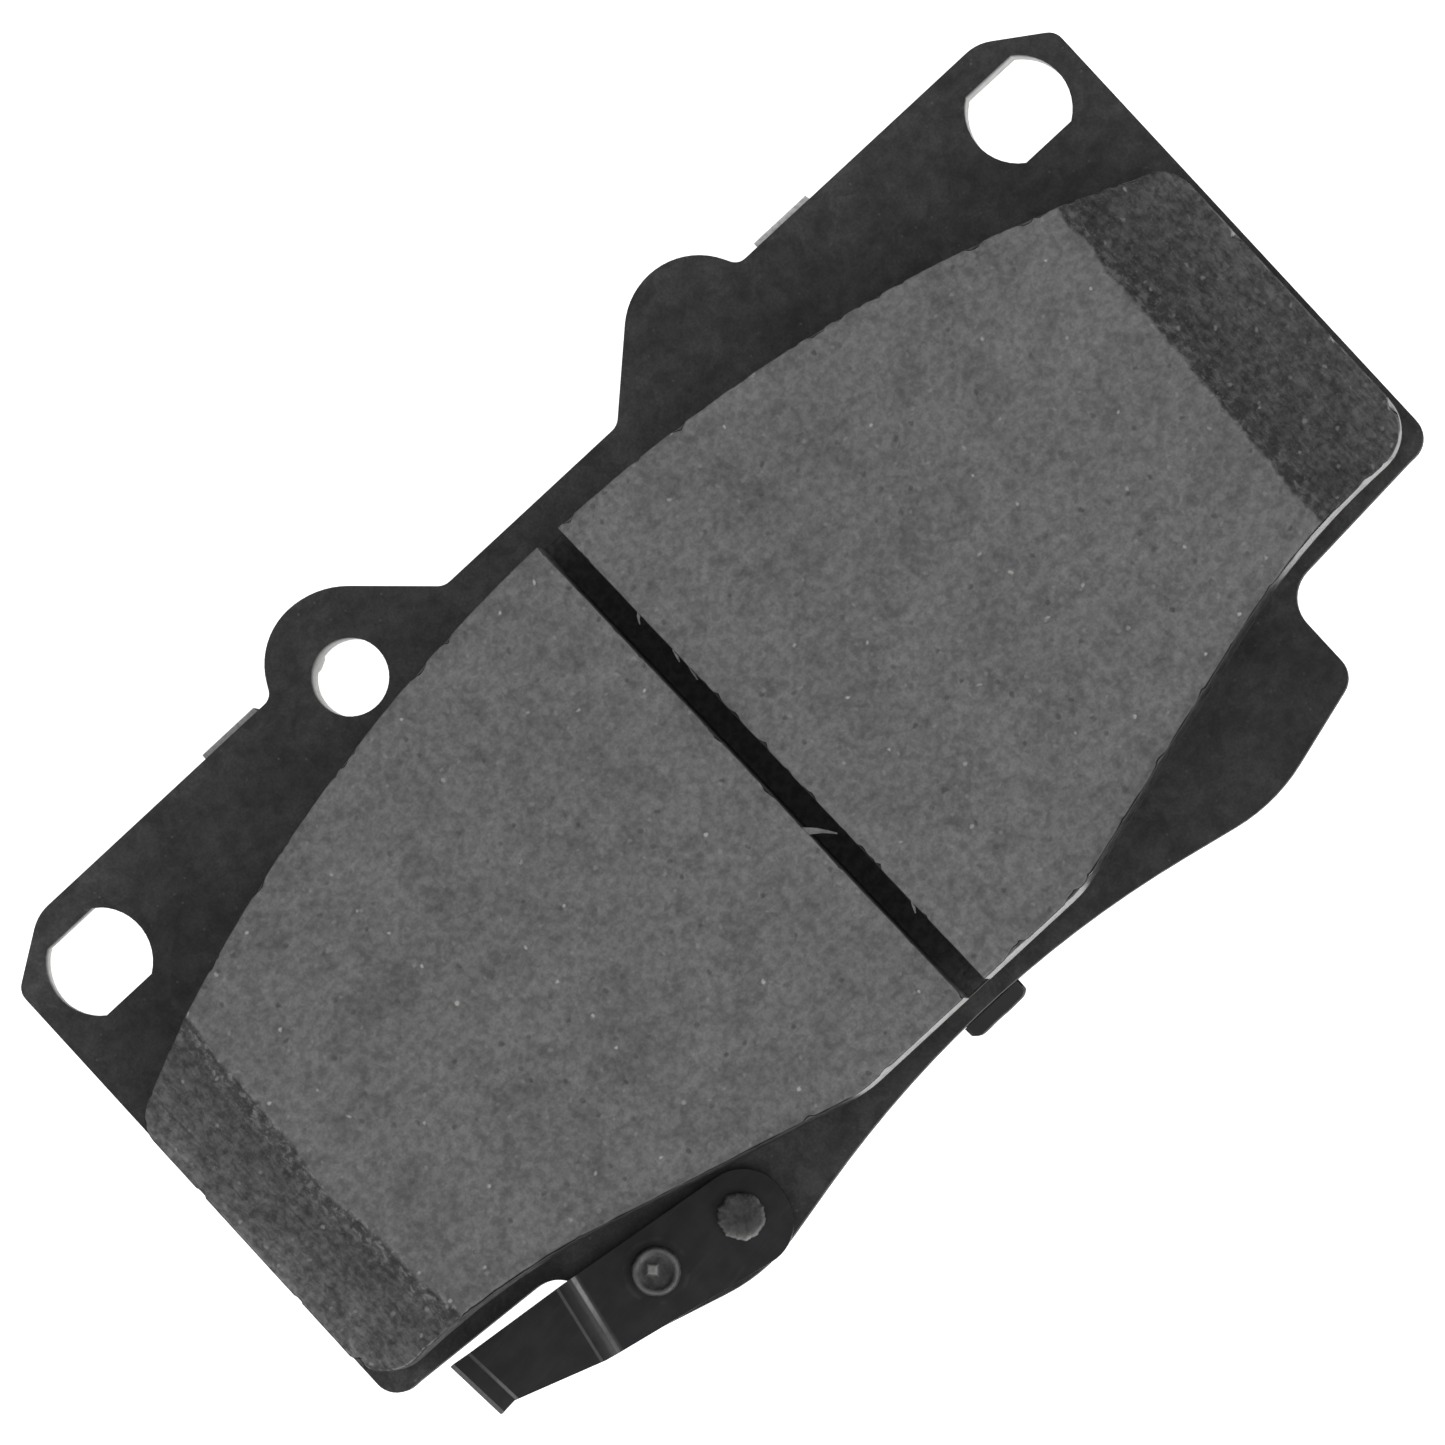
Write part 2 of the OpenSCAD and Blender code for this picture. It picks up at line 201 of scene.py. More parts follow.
class Look:
    """One procedural material. Its coordinates are millimetres in the object's own frame."""

    def __init__(self, name, roughness=0.5, specular=0.5):
        self.material = bpy.data.materials.new(name)
        self.material.use_nodes = True
        self.tree = self.material.node_tree
        self.shader = self.tree.nodes["Principled BSDF"]
        self.shader.inputs["Roughness"].default_value = roughness
        self.shader.inputs["Specular IOR Level"].default_value = specular
        place = self.tree.nodes.new("ShaderNodeTexCoord").outputs["Object"]
        self.mm = self.stretched(place, (1 / MM, 1 / MM, 1 / MM))
        self.xyz = make("ShaderNodeSeparateXYZ", {0: self.mm}).outputs
        normal = self.tree.nodes.new("ShaderNodeNewGeometry").outputs["Normal"]
        self.facing = make("ShaderNodeSeparateXYZ", {0: normal}).outputs

    def stretched(self, vector, scale, turn=0.0):
        """The same coordinates, turned about Z and then scaled along each axis."""
        inputs = {"Vector": vector, "Angle": turn}
        turned = make("ShaderNodeVectorRotate", inputs, rotation_type="Z_AXIS").outputs[0]
        return make("ShaderNodeVectorMath", {0: turned, 1: scale}, operation="MULTIPLY").outputs[0]

    def shaken(self, size, amount):
        """The coordinates pushed about by noise, so that round spots come out uneven."""
        wobble = make("ShaderNodeTexNoise", {"Vector": self.mm, "Scale": 1 / size, "Detail": 2.0})
        inputs = {0: wobble.outputs["Color"], 1: (0.5, 0.5, 0.5)}
        centred = make("ShaderNodeVectorMath", inputs, operation="SUBTRACT").outputs[0]
        inputs = {0: centred, "Scale": 2 * amount}
        push = make("ShaderNodeVectorMath", inputs, operation="SCALE").outputs[0]
        return make("ShaderNodeVectorMath", {0: self.mm, 1: push}, operation="ADD").outputs[0]

    def noise(self, size, detail=2.0, roughness=0.5, vector=None, warp=0.0):
        """Soft noise from 0 to 1 whose features are about size millimetres wide."""
        inputs = {"Vector": vector or self.mm, "Scale": 1 / size, "Detail": detail}
        inputs.update({"Roughness": roughness, "Distortion": warp})
        return make("ShaderNodeTexNoise", inputs).outputs["Fac"]

    def dots(self, spacing, radius, share, vector=None):
        """1 inside round spots of about that radius in plan, which only that share of the cells hold."""
        inputs = {"Vector": vector or self.mm, "Scale": 1 / spacing}
        cells = make("ShaderNodeTexVoronoi", inputs, voronoi_dimensions="2D")
        reach = radius / spacing
        inside = fall(cells.outputs["Distance"], reach * 0.3, reach)
        pick = make("ShaderNodeSeparateColor", {0: cells.outputs["Color"]}).outputs
        chosen = calc("LESS_THAN", pick["Red"], share)
        strength = ramp(pick["Green"], 0.0, 1.0, 0.45, 1.0)
        return times(times(inside, chosen), strength)

    def attribute(self, name):
        node = self.tree.nodes.new("ShaderNodeAttribute")
        node.attribute_name = name
        return node.outputs["Fac"]

    def set(self, socket, value):
        self.tree.links.new(value, self.shader.inputs[socket])

    def surface(self, colour, roughness):
        self.set("Base Color", colour)
        self.set("Roughness", roughness)

    def bump(self, height, depth_mm, normal=None):
        """Adds relief of about that depth on top of an earlier one; height runs from 0 to 1."""
        inputs = {"Height": height, "Distance": depth_mm * MM, "Strength": 1.0}
        if normal is not None:
            inputs["Normal"] = normal
        out = make("ShaderNodeBump", inputs).outputs[0]
        self.set("Normal", out)
        return out


class LiningLook(Look):
    """Ground friction compound: grey binder, dark pits and bright metal bits; rougher ends painted darker as
    shade.
    """

    def __init__(self):
        super().__init__("friction_compound", roughness=0.85, specular=0.06)
        x, y, z = self.xyz
        self.cut = self.attribute("cut")
        self.edge = self.attribute("edge")
        off_middle = calc("ABSOLUTE", x)
        starts = ramp(off_middle, SLANT_FROM_MM, SLANT_FROM_MM + 1.5)
        slanting = times(starts, fall(off_middle, 41.0, 44.0))
        self.slanting = times(slanting, fall(y, -15.0, -12.0))

        self.uneven = self.shaken(0.8, 0.3)
        self.mottle = self.noise(0.75, detail=3.0, roughness=0.6, vector=self.uneven)
        self.grain = self.noise(0.24, roughness=0.6)
        self.patches = self.noise(2.6, detail=3.0, roughness=0.6, warp=0.5)
        self.pits = self.dots(1.9, 0.3, 0.25, self.uneven)
        self.scratches = self.streaks(self.uneven, (2.6, 0.6, 1.0), 0.65)
        self.skin_noise = self.streaks(self.mm, (1.0, 1.0, 0.25), 0.6)
        self.marks = ramp(self.skin_noise, 0.35, 0.65)

        face = self.with_ground_ends(self.flat_face())
        face = self.with_painted_rim_highlights(self.with_metal(face))
        up = ramp(self.facing["Z"], 0.5, 0.9)
        grey = mix(up, self.moulded_walls(), face)
        self.surface(self.with_painted_slot_shade(grey), spread(self.grain, 0.72, 0.95))
        self.add_relief()

    def streaks(self, vector, stretch, roughness):
        """Noise drawn out along one axis."""
        return self.noise(0.8, detail=3.0, roughness=roughness, vector=self.stretched(vector, stretch))

    def flat_face(self):
        clouds = self.noise(9.0, detail=3.0)
        face = mix(spread(self.mottle), 0.133, 0.197)
        face = tint(face, spread(self.grain, 0.92, 1.09))
        face = tint(face, ramp(self.patches, 0.3, 0.58, 0.8, 1.03))
        face = tint(face, spread(clouds, 0.93, 1.05))
        face = mix(times(self.pits, 0.6), face, 0.06)
        return mix(times(ramp(self.edge, 0.1, 0.9, 0.0, 0.4), self.slanting), face, 0.045)

    def with_ground_ends(self, face):
        """The ends are painted darker than the face as shade, for the sheen that their tilt keeps from them;
        they are darkest along the crease and have short scratches parallel to the slot.
        """
        x = self.xyz[0]
        # Painted shade: the ground ends are toned darker than the face, the right end darker than the left
        left_tone = ramp(self.cut, 0.12, 0.95, 0.079, 0.109)
        right_tone = ramp(self.cut, 0.08, 0.95, 0.054, 0.074)
        on_right = ramp(x, -5.0, 5.0)
        tone = calc("ADD", left_tone, times(calc("SUBTRACT", right_tone, left_tone), on_right))
        tone = fade(tone, x, -59.0, -57.6, 1.25, 1.0)
        tone = times(tone, spread(self.mottle, 0.68, 1.34))
        tone = times(tone, spread(self.scratches, 0.76, 1.26))
        tone = fade(tone, self.patches, 0.35, 0.65, 0.88, 1.1)
        ground = mix(times(ramp(self.grain, 0.56, 0.76), 0.3), tone, 0.2)
        face = mix(ramp(self.cut, 0.006, 0.05), face, ground)

        crease = times(ramp(self.cut, 0.0, 0.02), fall(self.cut, 0.04, 0.26))
        crease = fade(crease, self.mottle, 0.45, 0.6)
        crease = fade(crease, self.scratches, 0.4, 0.6)
        return mix(fade(crease, x, -5.0, 5.0, 0.55, 0.2), face, 0.27)

    def with_metal(self, face):
        """Cut ends of steel fibres: many faint ones and a few that glint."""
        specks = self.dots(2.1, 0.25, 0.45, self.uneven)
        glints = self.dots(4.2, 0.23, 0.3, self.uneven)
        face = mix(fade(specks, self.xyz[0], -52.0, -48.0, 0.65, 0.42), face, 0.31)
        return mix(fade(glints, self.cut, 0.0, 0.1, 0.75, 0.4), face, (0.5, 0.49, 0.46))

    def with_painted_rim_highlights(self, face):
        """Painted highlights on the rim along the right end and round the lower left corner."""
        x = self.xyz[0]
        right_end_highlight = ramp(x, RIGHT_END_MM - 0.14, RIGHT_END_MM)
        right_end_highlight = fade(right_end_highlight, self.patches, 0.42, 0.56)
        face = mix(times(right_end_highlight, 0.8), face, 0.4)
        corner = times(ramp(self.edge, 0.68, 0.9), fall(x, -53.6, -52.6))
        corner = fade(corner, self.scratches, 0.4, 0.55)
        return mix(times(corner, 0.7), face, 0.3)

    def moulded_walls(self):
        """Dark skin, with painted shade on the slanting walls and painted light where the lower wall faces
        straight out and round the right corner.
        """
        x, y, z = self.xyz
        skin = mix(self.marks, 0.035, 0.07)
        # Painted light: the lower wall where it faces straight out, and the wall round the right corner, are
        # made bright
        front = fall(self.facing["Y"], -0.998, -0.97)
        front = fade(front, x, -15.5, -12.5)
        corner = times(ramp(x, 55.0, 57.0), fall(self.facing["Y"], -0.3, 0.1))
        painted_wall_light = calc("MAXIMUM", front, times(corner, 0.9))
        painted_wall_light = fade(painted_wall_light, self.skin_noise, 0.3, 0.6, 0.75, 1.0)
        skin = mix(painted_wall_light, skin, 0.32)
        # Painted shade on the slanting walls, a little less just under the face
        slant_shade = mix(self.marks, 0.014, 0.028)
        slant_shade = mix(ramp(z, FACE_MM - 1.0, FACE_MM - 0.15), slant_shade, 0.06)
        return mix(self.slanting, skin, slant_shade)

    def with_painted_slot_shade(self, grey):
        """Painted shade in the sawn slot, where little light reaches; least of it just under the rims."""
        x, y, z = self.xyz
        from_slot = calc("ABSOLUTE", calc("SUBTRACT", x, times(y, SLOT_LEAN)))
        in_slot = fall(from_slot, SLOT_HALF_MM + 0.03, SLOT_HALF_MM + 0.12)
        in_slot = times(in_slot, fall(z, FACE_MM - 0.3, FACE_MM))
        in_slot = times(in_slot, fall(self.attribute("shred"), 0.0, 0.5))
        slot_shade = mix(self.marks, 0.045, 0.072)
        slot_shade = mix(ramp(z, FACE_MM - 2.2, FACE_MM - 0.2), slot_shade, 0.075)
        return mix(in_slot, grey, slot_shade)

    def add_relief(self):
        relief = self.bump(ramp(self.grain, 0.2, 0.8), 0.018)
        relief = self.bump(calc("SUBTRACT", 1.0, self.pits), 0.06, relief)
        rough_ends = calc("ADD", self.scratches, self.mottle)
        self.bump(fade(rough_ends, self.cut, 0.0, 0.05), 0.05, relief)


def underlayer_look():
    """The bonding layer under the lining: finer, a little darker and browner."""
    look = Look("underlayer_compound", roughness=0.85, specular=0.06)
    grain = look.noise(0.35, detail=3.0, roughness=0.6)
    marks = look.noise(1.4)
    grey = mix(spread(grain), (0.026, 0.025, 0.024), (0.055, 0.053, 0.05))
    look.surface(tint(grey, spread(marks, 0.8, 1.1)), spread(grain, 0.75, 0.95))
    look.bump(grain, 0.05)
    return look.material


def adhesive_look():
    """Cured adhesive that shows as a thin dark line."""
    look = Look("cured_adhesive", roughness=0.4)
    blotch = look.noise(0.9)
    brown = mix(blotch, (0.028, 0.022, 0.017), (0.06, 0.048, 0.036))
    look.surface(brown, spread(blotch, 0.3, 0.55))
    look.bump(blotch, 0.05)
    return look.material


def coated_steel_look():
    """Thin black coat on stamped steel, worn on the rims, with painted shade on its outer walls and painted
    light in its holes.
    """
    look = Look("black_coat", roughness=0.5, specular=0.4)
    x, y, z = look.xyz
    peel = look.noise(0.5)
    mottle = look.noise(1.5, detail=4.0, roughness=0.62, warp=0.6)
    blotch = look.noise(4.5, detail=4.0, roughness=0.6, warp=0.6)
    haze = look.noise(19.0)
    dust = look.dots(1.6, 0.16, 0.2)
    grit = look.noise(0.22, roughness=0.6)
    black = mix(ramp(blotch, 0.32, 0.68), (0.031, 0.031, 0.0315), (0.045, 0.045, 0.0455))
    black = tint(black, spread(mottle, 0.74, 1.3))
    black = tint(black, spread(haze, 0.88, 1.14))
    black = tint(black, spread(grit, 0.84, 1.18))
    black = mix(times(ramp(peel, 0.6, 0.85), 0.3), black, 0.07)
    black = mix(times(dust, 0.45), black, 0.13)
    # Dust has greyed the coat most at the lower left corner and least on the lower right tab
    # Painted light along the upper edge, where the lining shades the strip; the coat is darker below the
    # lining right of the tab and lighter at the lower left corner
    black = tint(black, ramp(y, 21.0, 26.0, 1.0, 1.25))
    lower_right_darker = times(ramp(x, 14.0, 24.0), fall(y, -25.0, -20.0))
    black = tint(black, ramp(lower_right_darker, 0.0, 1.0, 1.0, 0.78))
    lower_left_lighter = times(fall(x, -57.0, -48.0), fall(y, -18.0, -15.0))
    black = tint(black, ramp(lower_left_lighter, 0.0, 1.0, 1.0, 1.9))
    # Painted shade: the outer walls are toned far darker than the coat, with painted light on the wall just
    # above the lower tab, which the tab shades
    wall = fall(calc("ABSOLUTE", look.facing["Z"]), 0.15, 0.5)
    painted_light_above_tab = fall(calc("ABSOLUTE", x), 2.8, 3.2)
    painted_light_above_tab = times(painted_light_above_tab, fall(y, -26.0, -24.0))
    painted_light_above_tab = fade(painted_light_above_tab, z, TAB_TOP_MM - 0.5, TAB_TOP_MM - 0.2)
    painted_wall_tone = mix(painted_light_above_tab, mix(spread(mottle), 0.006, 0.016), 0.05)
    black = mix(wall, black, painted_wall_tone)

    rub = look.noise(1.3, detail=4.0, roughness=0.65)
    rim = fade(look.attribute("rim"), rub, 0.42, 0.68)
    rim = fade(rim, z, 3.0, 6.0)
    black = mix(times(rim, 0.4), black, (0.095, 0.095, 0.097))
    # Painted light: the walls inside the holes are drawn as bright bare steel
    bare = fade(look.attribute("bore"), rub, 0.3, 0.6, 0.75, 1.0)
    bare = times(bare, wall)
    black = mix(bare, black, (0.74, 0.74, 0.73))
    look.set("Base Color", black)
    gloss = spread(blotch, 0.42, 0.56)
    gloss = calc("MAXIMUM", gloss, times(wall, 0.9))
    look.set("Roughness", calc("SUBTRACT", gloss, times(rim, 0.1)))
    look.set("Metallic", times(bare, 0.2))
    relief = look.bump(peel, 0.012)
    look.bump(mottle, 0.015, relief)
    return look.material


def spring_steel_look():
    """Blued spring strip: rolling lines along it, and painted highlights on its bends."""
    look = Look("blued_spring_steel", roughness=0.4, specular=0.4)
    x, y, z = look.xyz
    drawn_out = look.stretched(look.mm, (0.25, 3.2, 1.0), math.radians(-8))
    rolling = look.noise(1.0, detail=3.0, roughness=0.6, vector=drawn_out)
    blotch = look.noise(1.8, detail=3.0)
    dark = mix(spread(blotch), (0.016, 0.016, 0.018), (0.024, 0.024, 0.026))
    dark = mix(times(ramp(rolling, 0.5, 0.8), 0.3), dark, 0.04)
    breakup = look.noise(0.45, detail=3.0, roughness=0.7)

    def line(foot, turn, middle, half_width):
        """1 on a band across the strip, at a distance from a bend line towards the tip."""
        run = Vector((math.cos(math.radians(180 + turn)), math.sin(math.radians(180 + turn))))
        along_strip = calc("ADD", times(x, run.x), times(y, run.y))
        start = foot[0] * run.x + foot[1] * run.y + middle
        gap = calc("ABSOLUTE", calc("SUBTRACT", along_strip, start))
        return fall(gap, half_width * 0.5, half_width * 1.3)

    # Painted highlights: bright bands along the bend lines, where the bends catch the light
    foot_core = line(RISER_FOOT, RISER_TURN, -0.3, 0.22)
    foot_core = fade(foot_core, y, -29.5, -25.0, 0.3, 1.0)
    foot_skirt = times(line(RISER_FOOT, RISER_TURN, -0.2, 0.5), 0.16)
    top_line = times(line(RISER_FOOT, RISER_TURN, 1.25, 0.14), 0.2)
    tip_line = line(TIP_FOOT, TIP_TURN, -0.2, 0.15)
    tip_line = fade(tip_line, y, -27.5, -24.0, 0.5, 0.2)
    bends = calc("MAXIMUM", foot_core, foot_skirt)
    bends = calc("MAXIMUM", bends, calc("MAXIMUM", top_line, tip_line))
    bends = fade(bends, look.facing["Z"], 0.3, 0.6)
    bends = fade(bends, breakup, 0.25, 0.55, 0.7, 1.0)
    dark = mix(bends, dark, 0.4)

    # A faint ring where the hammer's dolly pressed round the middle rivet
    inputs = {0: look.stretched(look.mm, (1.0, 1.0, 0.0)), 1: MIDDLE_RIVET_MM}
    from_rivet = make("ShaderNodeVectorMath", inputs, operation="DISTANCE").outputs["Value"]
    off_ring = calc("ABSOLUTE", calc("SUBTRACT", from_rivet, 2.7))
    ring = fade(fall(off_ring, 0.08, 0.26), blotch, 0.35, 0.6)
    dark = mix(times(ring, 0.5), dark, 0.05)
    rim = fade(look.attribute("rim"), breakup, 0.35, 0.6, 0.45, 1.0)
    dark = mix(times(rim, 0.8), dark, (0.11, 0.11, 0.112))
    wall = fall(look.facing["Z"], 0.1, 0.5)
    dark = mix(times(wall, 0.8), dark, 0.008)
    look.set("Base Color", dark)
    look.set("Metallic", times(bends, 0.4))
    look.set("Roughness", spread(rolling, 0.36, 0.5))
    look.bump(rolling, 0.005)
    return look.material


def rivet_look():
    """Steel rivets with a thin dark oxide that the hammer has marked and worn off the high spots."""
    look = Look("rivet_steel", roughness=0.42)
    blotch = look.noise(0.7, detail=4.0, roughness=0.65)
    scars = look.noise(0.22, roughness=0.6)
    grey = mix(ramp(blotch, 0.34, 0.66), (0.036, 0.036, 0.037), (0.075, 0.075, 0.077))
    grey = mix(times(ramp(scars, 0.58, 0.72), 0.35), grey, 0.12)
    worn = fade(look.attribute("shine"), scars, 0.3, 0.6, 0.7, 1.0)
    grey = mix(worn, grey, (0.34, 0.34, 0.33))
    look.set("Base Color", grey)
    look.set("Metallic", ramp(worn, 0.0, 1.0, 0.25, 0.6))
    look.set("Roughness", spread(scars, 0.4, 0.6))
    look.bump(scars, 0.015)
    return look.material


def shim_look():
    """Dark coat on thin steel sheet; the ends of the two upper tabs were sheared bare."""
    look = Look("coated_shim", roughness=0.7, specular=0.12)
    x, y, z = look.xyz
    drawn_out = look.stretched(look.mm, (0.06, 7.0, 1.0))
    rolling = look.noise(1.0, detail=4.0, roughness=0.65, vector=drawn_out)
    stain = look.noise(6.0, detail=4.0, roughness=0.6, warp=0.5)
    peel = look.noise(0.4)
    coat = mix(spread(stain), (0.026, 0.026, 0.027), (0.046, 0.046, 0.047))
    coat = mix(times(ramp(rolling, 0.55, 0.8), 0.3), coat, 0.08)
    rim = fade(look.attribute("rim"), peel, 0.35, 0.6, 0.2, 0.8)
    coat = mix(times(rim, 0.35), coat, 0.12)
    shadowed = fade(fall(y, -25.0, -20.0), z, 0.8, 1.5)
    coat = mix(shadowed, coat, mix(spread(stain), 0.014, 0.026))
    sheared = fade(ramp(z, TAB_TOP_MM - 0.12, TAB_TOP_MM - 0.05), y, -5.0, 5.0)
    bare = ramp(x, -10.0, 10.0, 0.5, 0.95)
    bare = fade(bare, peel, 0.3, 0.6, 0.75, 1.0)
    look.surface(mix(sheared, coat, bare), spread(stain, 0.65, 0.85))
    look.bump(peel, 0.01)
    return look.material


def damping_look():
    """Black rubber coat between the shim sheet and the plate."""
    look = Look("damping_rubber", roughness=0.75)
    grain = look.noise(0.3)
    patches = look.noise(5.0, detail=3.0)
    black = mix(spread(patches), 0.012, 0.026)
    black = mix(times(ramp(grain, 0.55, 0.8), 0.4), black, 0.05)
    look.surface(black, spread(grain, 0.65, 0.85))
    look.bump(grain, 0.02)
    return look.material


# ---------- mesh tools ----------

def whole_faces(node):
    """The node's shape with its vertices merged and its flat faces joined up."""
    bm = bmesh.new()
    bm.from_mesh(cad[node].data)
    bmesh.ops.remove_doubles(bm, verts=bm.verts, dist=TINY / 4)
    limit = math.radians(0.1)
    bmesh.ops.dissolve_limit(bm, angle_limit=limit, verts=bm.verts, edges=bm.edges)
    return bm


def round_rims(bm, wanted, width, segments, least=50):
    """Bevels edges that turn by more than least degrees and whose two ends are both wanted.

    The middle of each new strip is marked in the rim attribute.
    """
    limit = math.radians(least)
    edges = [
        edge
        for edge in bm.edges
        if len(edge.link_faces) == 2
        and edge.calc_face_angle() > limit
        and all(wanted(vert.co) for vert in edge.verts)
    ]
    rim = bm.verts.layers.float.get("rim") or bm.verts.layers.float.new("rim")
    made = bmesh.ops.bevel(
        bm, geom=edges, offset=width, offset_type="OFFSET", segments=segments,
        profile=0.5, affect="EDGES", clamp_overlap=True,
    )
    strip = set(made["faces"])
    for vert in made["verts"]:
        if vert.is_valid and all(face in strip for face in vert.link_faces):
            vert[rim] = 1.0


def cut_across(bm, z):
    """Cuts the whole shape through at one height."""
    geometry = bm.verts[:] + bm.edges[:] + bm.faces[:]
    bmesh.ops.bisect_plane(bm, geom=geometry, plane_co=Vector((0, 0, z)), plane_no=Vector((0, 0, 1)))


def add_piece(name, bm, material, stands_for, sharp=38):
    """Turns bm into a shown piece that stands for one CAD node."""
    mesh = bpy.data.meshes.new(name)
    bmesh.ops.recalc_face_normals(bm, faces=bm.faces)
    bm.to_mesh(mesh)
    bm.free()
    if "custom_normal" in mesh.attributes:
        mesh.attributes.remove(mesh.attributes["custom_normal"])
    mesh.materials.clear()
    mesh.materials.append(material)
    for polygon in mesh.polygons:
        polygon.material_index = 0
    mesh.shade_smooth()
    mesh.set_sharp_from_angle(angle=math.radians(sharp))
    piece = bpy.data.objects.new(name, mesh)
    bpy.context.scene.collection.objects.link(piece)
    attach(piece, "root")
    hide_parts(stands_for)
    return piece


def even_normals(piece):
    """Keeps large flat faces flat next to narrow rounded rims."""
    modifier = piece.modifiers.new("even_normals", "WEIGHTED_NORMAL")
    modifier.keep_sharp = True


def wander(place, size, seed=0.0):
    """Smooth noise from -1 to 1 at a point, with features about size long."""
    return noise.noise(place / size + Vector((seed, seed * 1.7, -seed)))


# ---------- friction lining ----------

# Spacing of the lattice, and places of its lines near each rim
GRID = 0.36 * MM
RIM_STEPS = [0, 0.07 * MM, 0.16 * MM, 0.3 * MM, 0.52 * MM, 0.8 * MM]
SLOT_CELLS = 6
# Heights of the levels: 0 is the block's foot, 1 the slot's floor and 2 the face
LEVELS = [0.0, 0.5, 1.0, 1.2, 1.4, 1.58, 1.72, 1.83, 1.9, 1.95, 1.98, 2.0]
FLOOR_LEVEL = LEVELS.index(1.0)
TOP_LEVEL = len(LEVELS) - 1

RIM_RADIUS = 0.16 * MM
CHIP_REACH = 1.1 * MM
SLOT_CHIP_MM = 0.42
RIM_CHIP_MM = 0.5
# The slot's lean fades out this far from the middle
LEAN_REACH = 16 * MM
# The edge attribute fades out this far from the lower rim, and the cut attribute is full at this depth
EDGE_REACH = 0.9 * MM
FULL_CUT = 3 * MM

# The left end was ground by hand and bulges a little in the middle
LEFT_HUMP = 0.34 * MM
LEFT_HUMP_Y = -3.5 * MM
LEFT_HUMP_REACH = 9 * MM

# Torn shreds that the saw left hanging into the slot: root, bend and tip in millimetres, and width
SLOT_SHREDS = [
    ((-1.4, -9.9), (-0.3, -10.5), (0.75, -12.0), 0.75),
    ((1.3, 13.0), (0.75, 12.9), (0.45, 12.2), 0.45),
    ((1.35, 8.9), (1.0, 8.3), (0.75, 7.6), 0.5),
    ((1.4, 7.2), (1.1, 6.4), (0.85, 5.5), 0.55),
    ((1.75, -20.5), (1.35, -20.8), (1.05, -21.4), 0.5),
]


class Outline:
    """The friction block's outline, taken from the CAD lining's lower face."""

    def __init__(self, node):
        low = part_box(node)[0].z
        foot = [vert.co for vert in cad[node].data.vertices if vert.co.z < low + TINY]
        points = {(round(co.x, 7), round(co.y, 7)) for co in foot}
        self.loop = np.array(sorted(points, key=lambda p: math.atan2(p[1], p[0])))
        middle = self.loop[:, 1].mean()
        by_x = self.loop[np.argsort(self.loop[:, 0], kind="stable")]
        self.upper = by_x[by_x[:, 1] > middle]
        self.lower = by_x[by_x[:, 1] <= middle]

    def span(self, x):
        """Lowest and highest y of the block at x."""
        return np.interp(x, *self.lower.T), np.interp(x, *self.upper.T)

    def distance(self, points):
        """Shortest distance from each point to the outline."""
        best = np.full(len(points), 1.0)
        for a, b in zip(self.loop, np.roll(self.loop, -1, axis=0)):
            edge = b - a
            share = np.clip(((points - a) @ edge) / max(edge @ edge, 1e-18), 0, 1)
            gap = np.linalg.norm(points - a - share[:, None] * edge, axis=1)
            best = np.minimum(best, gap)
        return best


def stations(start, end, length):
    """Places from start to end that crowd together near both ends, as many as suit that length."""
    first, last = start + RIM_STEPS[-1], end - RIM_STEPS[-1]
    count = round((length - 2 * RIM_STEPS[-1]) / GRID)
    inner = [first + (last - first) * i / count for i in range(1, count)]
    return [start + s for s in RIM_STEPS] + inner + [end - s for s in reversed(RIM_STEPS)]


def chip(limit, along, seed):
    """Size of the bite that is broken out of a rim here, from 0 to 1."""
    rough = noise.noise(Vector((along / (1.5 * MM), seed, 0.3)))
    fine = noise.noise(Vector((along / (0.45 * MM), seed, 7.1)))
    return min(1.0, max(0.0, rough * 1.5 + fine * 0.6 - limit))


def chip_limit(x, y):
    """How rare chips are on the outer rim: they crowd right of the slot and on the upper right."""
    if y > 0:
        return 0.12 if 25 * MM < x < 52 * MM else 0.36
    if 0 < x < 17 * MM:
        return 0.05
    return 0.6 if on_slanting_edge(x, y) else 0.4


def on_slanting_edge(x, y):
    return y < 0 and SLANT_FROM_MM * MM < abs(x) < SLANT_TO_MM * MM


class GroundEnd:
    """The slanting plane that one end of the block was ground to, read off the CAD lining."""

    def __init__(self, tree, side):
        def hit(inside_end, y):
            above = Vector((side * (LINING_HIGH.x - inside_end), y, 1))
            return tree.ray_cast(above, Vector((0, 0, -1)))[0]

        self.base = hit(MM, 0)
        self.along_x = (hit(4 * MM, 0).z - self.base.z) / (-3 * MM * side)
        self.along_y = (hit(MM, 10 * MM).z - self.base.z) / (10 * MM)

    def depth(self, x, y):
        """Depth of the plane below the face; negative where the plane lies above it."""
        rise = self.along_x * (x - self.base.x)
        return LINING_HIGH.z - self.base.z - rise - self.along_y * (y - self.base.y)


